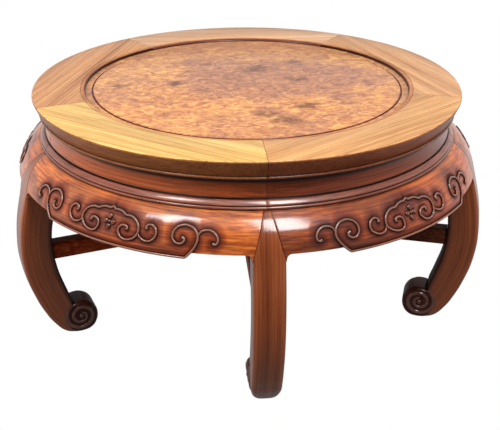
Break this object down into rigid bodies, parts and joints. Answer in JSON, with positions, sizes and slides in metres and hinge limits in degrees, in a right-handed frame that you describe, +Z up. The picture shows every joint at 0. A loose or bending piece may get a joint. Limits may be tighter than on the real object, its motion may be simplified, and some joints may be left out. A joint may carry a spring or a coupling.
{
  "type": "round coffee table",
  "caption": "Low round East Asian hardwood table: burl panel in a segmented frame, receding waist, bulging carved aprons and cabriole legs with scroll feet on spoke stretchers.",
  "frame": {"origin": "on the floor, under the centre of the round top", "axes": "+Z up; one leg stands towards -Y, which is the front; +X to the right"},
  "size_m": [0.9238, 0.938, 0.482],
  "materials": {
    "frame_wood": "polished, straight grain",
    "burl": "polished burl",
    "polished_wood": "glossy, with dark patina",
    "leg_wood": "polished, dark at the feet",
    "stretcher_wood": "satin",
    "plain_wood": "unpolished",
    "peg_wood": "end grain"
  },
  "bodies": {
    "root": {"top_frame_segment_1": "frame_wood", "top_frame_segment_2": "frame_wood", "top_frame_segment_3": "frame_wood", "top_frame_segment_4": "frame_wood", "top_frame_segment_5": "frame_wood", "burl_panel": "burl", "waist_1": "polished_wood", "waist_2": "polished_wood", "waist_3": "polished_wood", "waist_4": "polished_wood", "waist_5": "polished_wood", "moulding_1": "polished_wood", "moulding_2": "polished_wood", "moulding_3": "polished_wood", "moulding_4": "polished_wood", "moulding_5": "polished_wood", "apron_1": "polished_wood", "apron_2": "polished_wood", "apron_3": "polished_wood", "apron_4": "polished_wood", "apron_5": "polished_wood", "leg_1": "leg_wood", "leg_2": "leg_wood", "leg_3": "leg_wood", "leg_4": "leg_wood", "leg_5": "leg_wood", "stretcher_1": "stretcher_wood", "stretcher_2": "stretcher_wood", "stretcher_3": "stretcher_wood", "stretcher_4": "stretcher_wood", "stretcher_5": "stretcher_wood", "stretcher_hub": "stretcher_wood", "frame_spline_1": "plain_wood", "frame_spline_2": "plain_wood", "frame_spline_3": "plain_wood", "frame_spline_4": "plain_wood", "frame_spline_5": "plain_wood", "panel_batten_1": "plain_wood", "panel_batten_2": "plain_wood", "moulding_pegs": "peg_wood", "apron_pegs": "peg_wood"}
  },
  "joints": []
}
